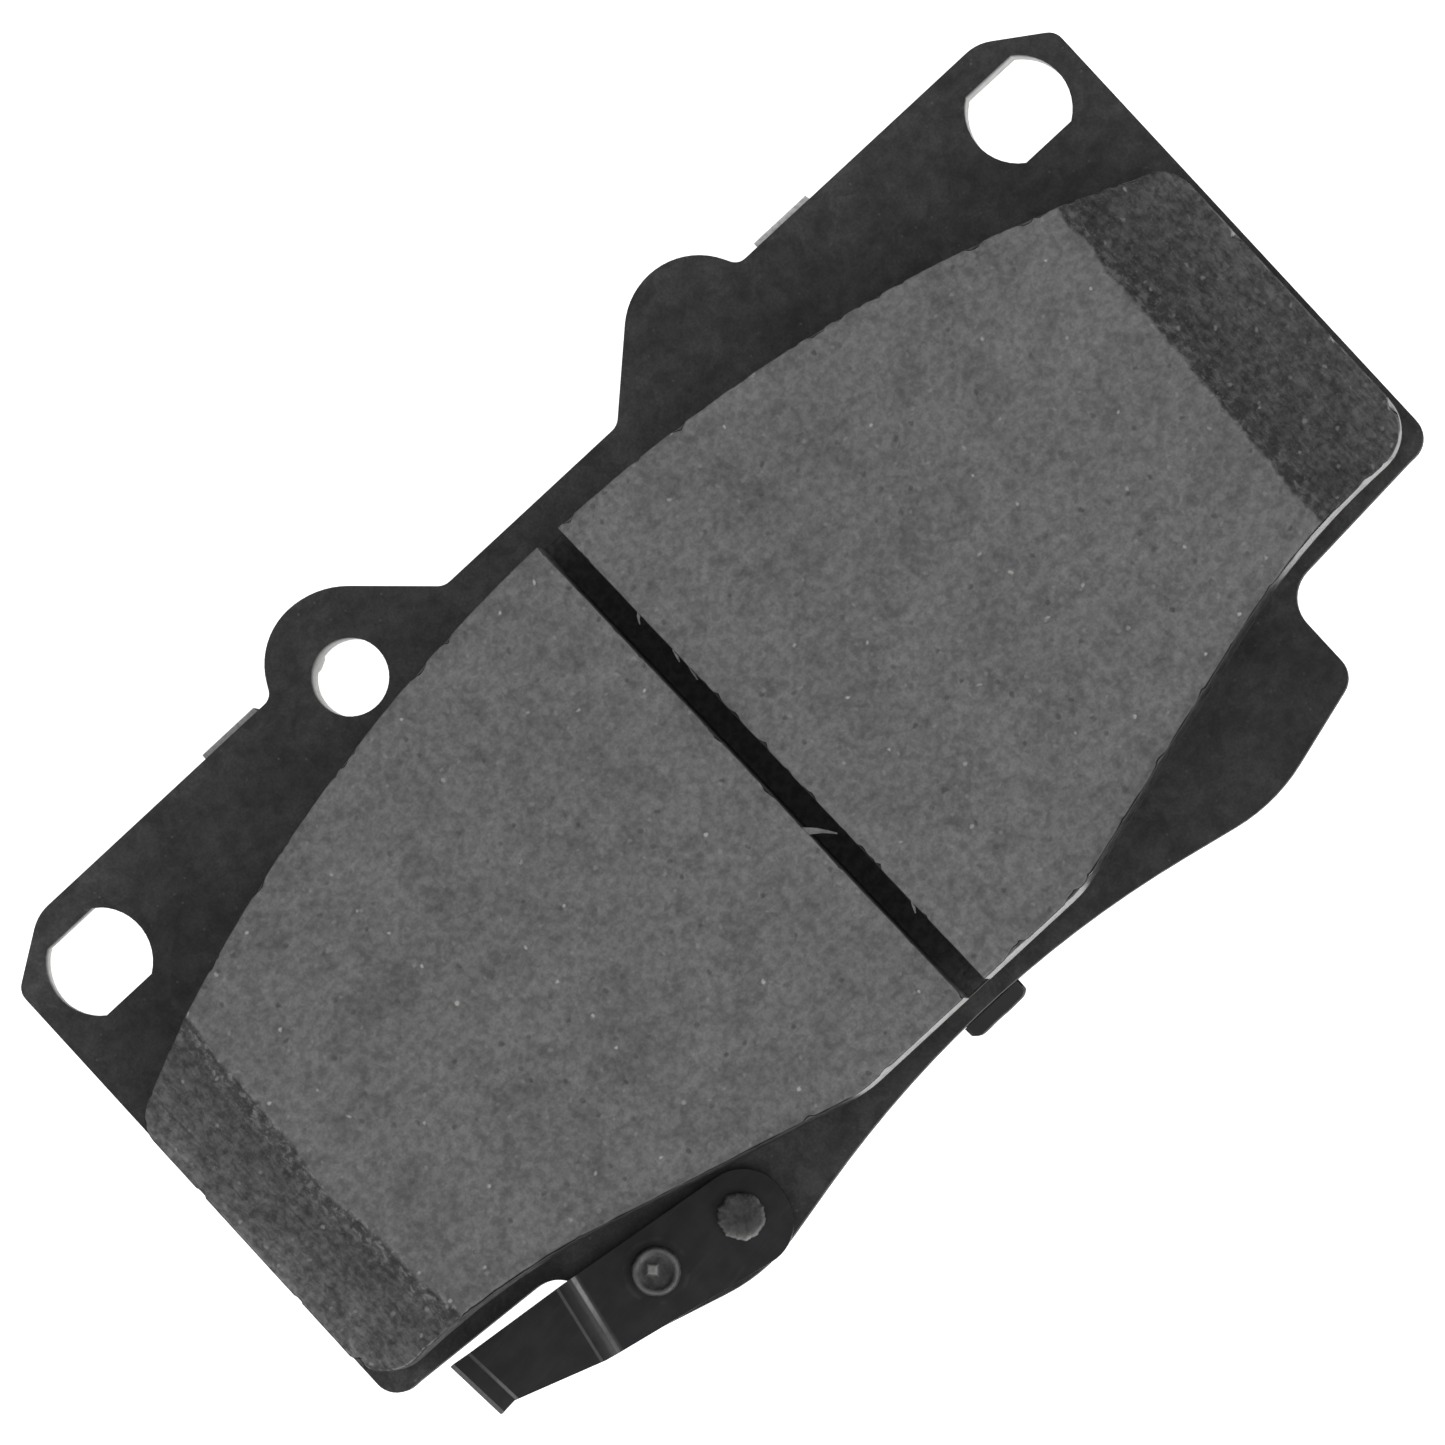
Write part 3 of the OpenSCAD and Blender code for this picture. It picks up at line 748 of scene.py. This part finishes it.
class Lattice:
    """The block as columns, rows and levels. Only the faces on its outside are made."""

    def __init__(self):
        tree = BVHTree.FromObject(cad["friction_lining"], bpy.context.evaluated_depsgraph_get())
        self.slot_floor = tree.ray_cast(Vector((0, 0, 1)), Vector((0, 0, -1)))[0].z
        self.ends = {False: GroundEnd(tree, -1), True: GroundEnd(tree, 1)}

        left = stations(LINING_LOW.x, -SLOT_HALF, -SLOT_HALF - LINING_LOW.x)
        gap = [-SLOT_HALF + 2 * SLOT_HALF * i / SLOT_CELLS for i in range(1, SLOT_CELLS)]
        self.columns = left + gap + [-x for x in reversed(left)]
        self.slot_start = len(left) - 1
        self.slot_end = self.slot_start + SLOT_CELLS
        outline = Outline("friction_lining")
        self.rows = [stations(*outline.span(x), LINING_HIGH.y - LINING_LOW.y) for x in self.columns]
        self.last_column, self.last_row = len(self.columns) - 1, len(self.rows[0]) - 1
        flat = np.array([(x, y) for x, ys in zip(self.columns, self.rows) for y in ys])
        self.rim_gap = outline.distance(flat).reshape(len(self.columns), len(self.rows[0]))

        self.bm = bmesh.new()
        layers = self.bm.verts.layers.float
        self.cut = layers.new("cut")
        self.edge = layers.new("edge")
        layers.new("shred")
        self.made = {}

    def ground_depth(self, x, y):
        """How deep the grinding went here, with an edge that wanders in and out."""
        depth = self.ends[x > 0].depth(x, y)
        if x < 0:
            depth -= LEFT_HUMP * math.exp(-(((y - LEFT_HUMP_Y) / LEFT_HUMP_REACH) ** 2))
        place = Vector((x, y, 0))
        slow = 0.13 * wander(place, 2.6 * MM, 31.0)
        quick = 0.07 * wander(place, 0.8 * MM, 33.0)
        return max(0.0, depth + (slow + quick) * MM)

    def corner(self, i, j, k):
        """The vertex at one crossing, made when it is first asked for."""
        if (i, j, k) in self.made:
            return self.made[i, j, k]
        x, y = self.columns[i], self.rows[i][j]
        in_slot = self.slot_start < i < self.slot_end
        depth = self.ground_depth(x, y)
        top = self.slot_floor if in_slot else LINING_HIGH.z - depth
        if k <= FLOOR_LEVEL:
            z = LINING_LOW.z + (self.slot_floor - LINING_LOW.z) * LEVELS[k]
        else:
            z = self.slot_floor + (top - self.slot_floor) * (LEVELS[k] - 1)
        place = Vector((x, y, z))
        moved = place.copy()
        rim_gap = self.rim_gap[i][j]
        slot_gap = max(0.0, abs(place.x) - SLOT_HALF)
        if not in_slot and top - place.z < CHIP_REACH:
            break_chips(moved, place, rim_gap, slot_gap, top - place.z)
        if k == TOP_LEVEL and not in_slot:
            wear_face(moved, place, min(rim_gap, slot_gap))
        elif k > 0 and (j in (0, self.last_row) or i in (0, self.last_column)):
            self.roughen_wall(moved, place, i, j)
        elif in_slot or slot_gap < TINY:
            roughen_slot(moved, place, k)
        moved.x += SLOT_LEAN * y * min(1.0, max(0.0, (LEAN_REACH - abs(x)) / (0.75 * LEAN_REACH)))
        vert = self.bm.verts.new(moved)
        vert[self.cut] = min(1.0, depth / FULL_CUT)
        vert[self.edge] = max(0.0, 1 - rim_gap / EDGE_REACH) if y < 0 else 0.0
        self.made[i, j, k] = vert
        return vert

    def roughen_wall(self, moved, place, i, j):
        """Sinks a point of the outer walls unevenly."""
        if j in (0, self.last_row):
            inward = Vector((0, 1 if j == 0 else -1, 0))
        else:
            inward = Vector((-1 if i else 1, 0, 0))
        moved += inward * (0.035 * MM * (1 + wander(place, 1.1 * MM, 8.0)))

    def face(self, *corners):
        self.bm.faces.new([self.corner(*corner) for corner in corners])

    def wall(self, start, end, level):
        """One upright face between two neighbouring places, each a column and a row."""
        self.face((*start, level), (*end, level), (*end, level + 1), (*start, level + 1))

    def add_faces(self):
        columns, rows = self.last_column, self.last_row
        for i in range(columns):
            surface = FLOOR_LEVEL if self.slot_start <= i < self.slot_end else TOP_LEVEL
            for j in range(rows):
                self.face((i, j, surface), (i + 1, j, surface), (i + 1, j + 1, surface), (i, j + 1, surface))
            for k in range(surface):
                self.wall((i, 0), (i + 1, 0), k)
                self.wall((i + 1, rows), (i, rows), k)
        for j in range(rows):
            for k in range(TOP_LEVEL):
                self.wall((0, j + 1), (0, j), k)
                self.wall((columns, j), (columns, j + 1), k)
            for k in range(FLOOR_LEVEL, TOP_LEVEL):
                self.wall((self.slot_start, j), (self.slot_start, j + 1), k)
                self.wall((self.slot_end, j + 1), (self.slot_end, j), k)
        around = [(i, 0) for i in range(columns)] + [(columns, j) for j in range(rows)]
        around += [(i, rows) for i in range(columns, 0, -1)] + [(0, j) for j in range(rows, 0, -1)]
        self.bm.faces.new([self.made[i, j, 0] for i, j in reversed(around)])


def break_chips(moved, place, rim_gap, slot_gap, below):
    """Moves a point near a rim inwards where a chip is missing."""
    x, y, z = place
    weight = (1 - below / CHIP_REACH) ** 2
    if slot_gap < CHIP_REACH:
        side = 1 if x > 0 else -1
        bite = chip(0.28 if side > 0 else 0.5, y, 3.0 * side) * SLOT_CHIP_MM * MM
        moved.x += side * bite * weight * (1 - slot_gap / CHIP_REACH) ** 2
    if rim_gap < CHIP_REACH:
        on_end = abs(x) > LINING_HIGH.x - MM
        inward = -Vector((x, y, 0)).normalized() if on_end else Vector((0, -1 if y > 0 else 1, 0))
        bite = chip(chip_limit(x, y), y if on_end else x, 11.0 if y < 0 else 17.0) * RIM_CHIP_MM * MM
        moved += inward * bite * weight * (1 - rim_gap / CHIP_REACH) ** 2


def wear_face(moved, place, gap):
    """Rounds the face off near its rims and roughens it."""
    radius = RIM_RADIUS * (1.25 + 0.6 * wander(place, 1.3 * MM, 2.0))
    radius *= 2.2 if on_slanting_edge(place.x, place.y) else 1.0
    if gap < radius:
        moved.z -= radius - math.sqrt(max(0.0, radius ** 2 - (radius - gap) ** 2))
    fine = 0.012 * MM * (1 + wander(place, 0.8 * MM, 5.0))
    moved.z -= fine + 0.008 * MM * (1 + wander(place, 3 * MM, 6.0))


def roughen_slot(moved, place, level):
    """Leaves the saw's traces on the slot's floor and walls."""
    if level == FLOOR_LEVEL:
        moved.z -= 0.03 * MM * (1 + wander(place, 0.9 * MM, 9.0))
    elif level > FLOOR_LEVEL:
        moved.x += 0.03 * MM * wander(place, 0.7 * MM, 10.0)


def add_shred(bm, root, bend, tip, width):
    """A thin curved sliver just below the lining's face, wide at its root and pointed at its tip."""
    steps, thickness, sink = 8, 0.3, 0.1
    shred = bm.verts.layers.float["shred"]
    root, bend, tip = Vector(root), Vector(bend), Vector(tip)
    sections = []
    for i in range(steps + 1):
        t = i / steps
        middle = root * (1 - t) ** 2 + bend * 2 * t * (1 - t) + tip * t ** 2
        heading = ((bend - root) * (1 - t) + (tip - bend) * t).normalized()
        across = Vector((-heading.y, heading.x)) * width * (0.5 - 0.42 * t)
        across *= 1 + 0.3 * noise.noise(Vector((t * 5, root.y, 1.0)))
        upper = LINING_HIGH.z - (sink + 0.5 * t ** 2) * MM
        lower = upper - thickness * (1 - 0.7 * t) * MM
        sides = (middle + across, middle - across)
        ring = [(sides[0], upper), (sides[1], upper), (sides[1], lower), (sides[0], lower)]
        verts = [bm.verts.new((p.x * MM, p.y * MM, z)) for p, z in ring]
        for vert in verts:
            vert[shred] = 1.0
        sections.append(verts)
    for a, b in zip(sections, sections[1:]):
        for n in range(4):
            bm.faces.new([a[n], a[(n + 1) % 4], b[(n + 1) % 4], b[n]])
    bm.faces.new(sections[0][::-1])
    bm.faces.new(sections[-1])


def build_lining():
    """The moulded and ground block, with the shreds that hang in its slot."""
    lattice = Lattice()
    lattice.add_faces()
    for root, bend, tip, width in SLOT_SHREDS:
        add_shred(lattice.bm, root, bend, tip, width)
    material = LiningLook().material
    add_piece("lining_block", lattice.bm, material, "friction_lining", sharp=50)


# ---------- the other pieces ----------

def roughened(node, cuts, depth, size, seed):
    """The node's shape with its outer wall cut into bands and made slightly uneven, always inwards."""
    bm = whole_faces(node)
    low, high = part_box(node)
    for i in range(1, cuts):
        cut_across(bm, low.z + (high.z - low.z) * i / cuts)
    bm.normal_update()
    shifts = []
    for vert in bm.verts:
        if not low.z + TINY < vert.co.z < high.z - TINY:
            continue
        out = Vector((vert.normal.x, vert.normal.y, 0))
        if out.length > 0.5 and out.dot(Vector((vert.co.x, vert.co.y, 0))) > 0:
            shifts.append((vert, out.normalized() * depth * (1 + wander(vert.co, size, seed)) / 2))
    for vert, shift in shifts:
        vert.co -= shift
    return bm


def build_underlayer():
    bm = roughened("underlayer", 4, 0.12 * MM, 1.2 * MM, 21.0)
    add_piece("underlayer_band", bm, underlayer_look(), "underlayer")


def build_adhesive():
    bm = roughened("adhesive_film", 2, 0.1 * MM, 1.0 * MM, 25.0)
    add_piece("adhesive_line", bm, adhesive_look(), "adhesive_film")


# The torn zone of the stamped edge slopes inwards below this share of the thickness
TORN_SHARE = 0.62
TORN_DEPTH = 0.3 * MM

# The plate's rims: whether on the front and round a hole, width and segments
PLATE_RIMS = [
    (True, False, 0.45 * MM, 4),
    (True, True, 0.22 * MM, 3),
    (False, False, 0.14 * MM, 2),
    (False, True, 0.14 * MM, 2),
]


def build_plate():
    """Stamped plate: one face has a rounded rim, and the edge tapers inwards towards the other face."""
    low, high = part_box("backing_plate")
    bm = whole_faces("backing_plate")
    bore_centres = hole_centres()

    def near_bore(co, reach=6.5 * MM):
        return any((co.xy - centre).length < reach for centre in bore_centres)

    outer = outer_rim(bm, low.z)
    cut_across(bm, low.z + TORN_SHARE * (high.z - low.z))
    for vert, inward in outer:
        vert.co += inward * TORN_DEPTH

    def rim_at(level, bore):
        return lambda co: abs(co.z - level) < TINY and near_bore(co) == bore

    for on_front, at_hole, width, segments in PLATE_RIMS:
        level = high.z if on_front else low.z
        round_rims(bm, rim_at(level, at_hole), width, segments)
    bore = bm.verts.layers.float.new("bore")
    for vert in bm.verts:
        if near_bore(vert.co, 5 * MM) and vert.co.z < high.z - 0.2 * MM:
            vert[bore] = 1.0
    piece = add_piece("pressed_plate", bm, coated_steel_look(), "backing_plate")
    even_normals(piece)


def outer_rim(bm, level):
    """Vertices of the outer outline at one height, each with its direction inwards."""
    def on_rim(edge):
        return all(abs(vert.co.z - level) < TINY for vert in edge.verts)

    at_level = [vert for vert in bm.verts if abs(vert.co.z - level) < TINY]
    start = min(at_level, key=lambda vert: vert.co.x)
    loop, current, before = [start], start, None
    while True:
        ahead = [edge for edge in current.link_edges if on_rim(edge) and edge is not before]
        before = ahead[0]
        current = before.other_vert(current)
        if current is start:
            break
        loop.append(current)
    area = sum(a.co.x * b.co.y - b.co.x * a.co.y for a, b in zip(loop, loop[1:] + loop[:1]))
    side = 1 if area > 0 else -1
    found = []
    for a, vert, b in zip(loop[-1:] + loop[:-1], loop, loop[1:] + loop[:1]):
        along = (vert.co - a.co).normalized() + (b.co - vert.co).normalized()
        found.append((vert, Vector((-along.y, along.x, 0)).normalized() * side))
    return found


def hole_centres():
    """Centres of the three open holes, from the record's mounts."""
    mounts = {mount["name"]: mount for mount in frame["record"]["mounts"]}
    names = ("spring_hole", "pin_hole_left", "pin_hole_right")
    return [Vector(mounts[name]["pos_m"][:2]) for name in names]


def build_indicator():
    """Spring strip with its sheared edges eased."""
    bm = whole_faces("wear_indicator")
    round_rims(bm, lambda co: True, 0.22 * MM, 2, least=60)
    piece = add_piece("indicator_strip", bm, spring_steel_look(), "wear_indicator")
    even_normals(piece)


# The shim's lower tab: how far it stands out from the plate, and its tip, which bends back to the plate
TAB_DEPTH = 1.3 * MM
TAB_CUTS = 20
TIP_DEPTH = 0.48 * MM
TIP_HEIGHT = 0.3 * MM
TIP_OVERLAP = 0.06 * MM


def build_shim():
    """Thin sheet whose lower tab has rounded corners and a wavy outer edge."""
    bm = whole_faces("shim_sheet")
    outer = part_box("shim_sheet")[0].y
    inner = outer + TAB_DEPTH
    half = max(vert.co.x for vert in bm.verts if vert.co.y < inner)
    for i in range(1, TAB_CUTS):
        level = Vector((half * (2 * i / TAB_CUTS - 1), 0, 0))
        faces = [face for face in bm.faces if all(vert.co.y < inner for vert in face.verts)]
        geometry = faces + list({edge for face in faces for edge in face.edges})
        geometry += list({vert for face in faces for vert in face.verts})
        bmesh.ops.bisect_plane(bm, geom=geometry, plane_co=level, plane_no=Vector((1, 0, 0)))
    round_rims(bm, lambda co: True, 0.08 * MM, 2, least=60)
    for vert in bm.verts:
        if vert.co.y > inner:
            continue
        if vert.co.y > inner - TIP_DEPTH and vert.co.z > TAB_TOP_MM * MM - TIP_HEIGHT:
            vert.co.y = inner + TIP_OVERLAP
        out = (inner - vert.co.y) / (inner - outer)
        corner = max(0.0, abs(vert.co.x) / half - 0.72) / 0.28
        wave = 0.1 * (1 + wander(Vector((vert.co.x, 0, 0)), 1.6 * MM, 41.0))
        vert.co.y += out * (0.42 * corner ** 2 + wave) * MM
    piece = add_piece("shim_plate", bm, shim_look(), "shim_sheet")
    even_normals(piece)


STRIP_THICKNESS = 0.7 * MM
RIVET_SHANK = 1.5 * MM
RIVET_SEGMENTS = 120
# Side on which the end rivet's rim is drawn brightest, as an angle from +X
BRIGHTEST_SIDE = math.radians(230)


def lathe(centre, profile, shape):
    """Turns a profile of (radius, z) points round a vertical axis.

    shape moves each point a little and says how much the oxide is worn off there, from 0 to 1.
    """
    bm = bmesh.new()
    shine = bm.verts.layers.float.new("shine")
    rings = []
    for radius, z in profile:
        ring = []
        for i in range(RIVET_SEGMENTS if radius else 1):
            angle = 2 * math.pi * i / RIVET_SEGMENTS
            r, height, worn = shape(radius, z, angle)
            vert = bm.verts.new(centre + Vector((r * math.cos(angle), r * math.sin(angle), height)))
            vert[shine] = worn
            ring.append(vert)
        rings.append(ring)
    for lower, upper in zip(rings, rings[1:]):
        for i in range(RIVET_SEGMENTS):
            n = (i + 1) % RIVET_SEGMENTS
            if len(lower) == 1:
                bm.faces.new([lower[0], upper[n], upper[i]])
            elif len(upper) == 1:
                bm.faces.new([lower[i], lower[n], upper[0]])
            else:
                bm.faces.new([lower[i], lower[n], upper[n], upper[i]])
    return bm


def rivet_levels(node):
    """Centre of a CAD rivet, and the heights of its tail, the plate's back, its seat and its top."""
    low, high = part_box(node)
    levels = sorted({round(vert.co.z, 5) for vert in cad[node].data.vertices})
    strip_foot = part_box("wear_indicator")[0].z
    seat = min(levels, key=lambda z: abs(z - strip_foot - STRIP_THICKNESS))
    return Vector(((low.x + high.x) / 2, (low.y + high.y) / 2, 0)), low.z, levels[1], seat, high.z


def rivet_profile(tail_z, plate_z, seat_z, head):
    """Spread tail, shank and head, from the middle of the tail up to the middle of the head."""
    tail = [(0, 0.1), (1.0, 0.06), (1.8, 0.0), (2.1, 0.05), (2.32, 0.22)]
    profile = [(r * MM, tail_z + z * MM) for r, z in tail]
    profile += [(2.4 * MM, plate_z - 0.06 * MM), (2.36 * MM, plate_z)]
    profile += [(RIVET_SHANK, plate_z), (RIVET_SHANK, seat_z)]
    return profile + [(r * MM, seat_z + z * MM) for r, z in head]


def build_end_rivet():
    """Flat head whose rim the hammer has spread into a ragged star."""
    centre, tail_z, plate_z, seat_z, top_z = rivet_levels("indicator_rivet_end")
    head = [(1.95, 0.0), (2.02, 0.1), (2.05, 0.24), (1.98, 0.38), (1.84, 0.48), (1.66, 0.54), (1.3, 0.53),
            (0.8, 0.5), (0.35, 0.52), (0, 0.52)]
    profile = rivet_profile(tail_z, plate_z, seat_z, head)

    def hammered(radius, z, angle):
        if z < seat_z:
            return radius, z, 0.0
        turn = Vector((math.cos(angle), math.sin(angle), 0.0))
        ragged = noise.noise(turn * 3.1 + Vector((4.0, 1.0, 2.0))) + 0.7 * noise.noise(turn * 7.5)
        share = max(0.0, radius / (2.05 * MM)) ** 4
        dent = noise.noise(turn * radius / (0.8 * MM) + Vector((0, 0, 9.0)))
        lift = 0.05 * MM * (ragged + 0.5) * share + 0.035 * MM * dent * min(1.0, (z - seat_z) / (0.3 * MM))
        toward_brightest = max(0.0, math.cos(angle - BRIGHTEST_SIDE)) ** 2
        worn = (0.12 + 0.6 * toward_brightest + 0.25 * max(0.0, ragged)) * share
        return radius + 0.13 * MM * ragged * share, min(top_z, z + lift) if z > seat_z else z, worn

    bm = lathe(centre, profile, hammered)
    add_piece("rivet_end", bm, rivet_look(), "indicator_rivet_end", sharp=60)


def build_middle_rivet():
    """Raised rim round a shallow dish with a flattened, four-sided boss in it."""
    centre, tail_z, plate_z, seat_z, top_z = rivet_levels("indicator_rivet_middle")
    head = [(2.1, 0.0), (2.15, 0.12), (2.13, 0.3), (2.05, 0.47), (1.95, 0.58), (1.82, 0.64), (1.7, 0.63),
            (1.58, 0.56), (1.46, 0.46), (1.3, 0.39)]
    head += [(step / 10, 0.36) for step in range(12, -1, -1)]
    profile = rivet_profile(tail_z, plate_z, seat_z, head)
    boss_shift = Vector((-0.12, 0.3, 0)) * MM

    def struck(radius, z, angle):
        if z <= seat_z:
            return radius, z, 0.0
        turn = Vector((math.cos(angle), math.sin(angle), 0.0))
        if radius < 1.25 * MM:
            place = turn * radius - boss_shift
            boss = max(0.0, 1 - (abs(place.x) * 1.1 + abs(place.y)) / (0.85 * MM))
            flat = min(1.0, boss * 2.2)
            return radius, seat_z + (0.36 + 0.17 * flat) * MM, 0.9 * flat ** 2
        wobble = noise.noise(turn * 1.8 + Vector((3.0, 2.0, 8.0)))
        on_rim = max(0.0, 1 - abs(radius / MM - 1.8) / 0.25)
        worn = on_rim * (0.12 + 0.4 * math.cos(angle) ** 2)
        return radius + 0.03 * MM * wobble, min(top_z, z + 0.025 * MM * wobble), worn

    bm = lathe(centre, profile, struck)
    add_piece("rivet_middle", bm, rivet_look(), "indicator_rivet_middle", sharp=60)


# ---------- studio ----------

FLOOR_HALF = 3.0
FLOOR_GAP = 0.3 * MM
FLOOR_GLOW = 1.05
HORIZON_LIGHT = 1.1
ZENITH_LIGHT = 0.275
SOFTBOX_POWER = 2.5


def add_floor():
    """White floor that glows a little, so that it stays white right up to the pad."""
    mesh = bpy.data.meshes.new("studio_floor")
    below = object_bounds()[0].z - FLOOR_GAP
    corners = [(-1, -1), (1, -1), (1, 1), (-1, 1)]
    mesh.from_pydata([(FLOOR_HALF * x, FLOOR_HALF * y, below) for x, y in corners], [], [(0, 1, 2, 3)])
    floor = bpy.data.objects.new("studio_floor", mesh)
    bpy.context.scene.collection.objects.link(floor)
    look = Look("white_floor", roughness=0.9, specular=0.2)
    shader = look.shader.inputs
    shader["Base Color"].default_value = (0.85, 0.85, 0.85, 1)
    shader["Emission Color"].default_value = (1, 1, 1, 1)
    shader["Emission Strength"].default_value = FLOOR_GLOW
    mesh.materials.append(look.material)


def add_studio_light():
    """A white tent: bright all round at the sides and darker overhead, and one broad soft light."""
    world = bpy.data.worlds.new("white_tent")
    world.use_nodes = True
    tree = world.node_tree
    background = tree.nodes["Background"].inputs
    direction = tree.nodes.new("ShaderNodeTexCoord").outputs["Generated"]
    height = tree.nodes.new("ShaderNodeSeparateXYZ")
    tree.links.new(direction, height.inputs[0])
    level = tree.nodes.new("ShaderNodeMapRange")
    limits = {"From Min": 0.3, "From Max": 1.0, "To Min": HORIZON_LIGHT, "To Max": ZENITH_LIGHT}
    for socket, value in limits.items():
        level.inputs[socket].default_value = value
    tree.links.new(height.outputs["Z"], level.inputs["Value"])
    tree.links.new(level.outputs[0], background["Strength"])
    background["Color"].default_value = (1, 1, 1, 1)
    bpy.context.scene.world = world

    data = bpy.data.lights.new("front_softbox", "AREA")
    data.shape = "RECTANGLE"
    data.size = 0.7
    data.size_y = 0.35
    data.energy = SOFTBOX_POWER
    softbox = bpy.data.objects.new("front_softbox", data)
    softbox.location = (0.12, -0.75, 0.4)
    softbox.rotation_euler = (TARGET - softbox.location).to_track_quat("-Z", "Y").to_euler()
    bpy.context.scene.collection.objects.link(softbox)
    bpy.context.scene.view_settings.view_transform = "Standard"


def main():
    add_camera()
    build_lining()
    build_underlayer()
    build_adhesive()
    build_plate()
    build_indicator()
    build_end_rivet()
    build_middle_rivet()
    build_shim()
    damping = cad["shim_damping_layer"]
    damping.data.materials.clear()
    damping.data.materials.append(damping_look())
    add_floor()
    add_studio_light()


main()
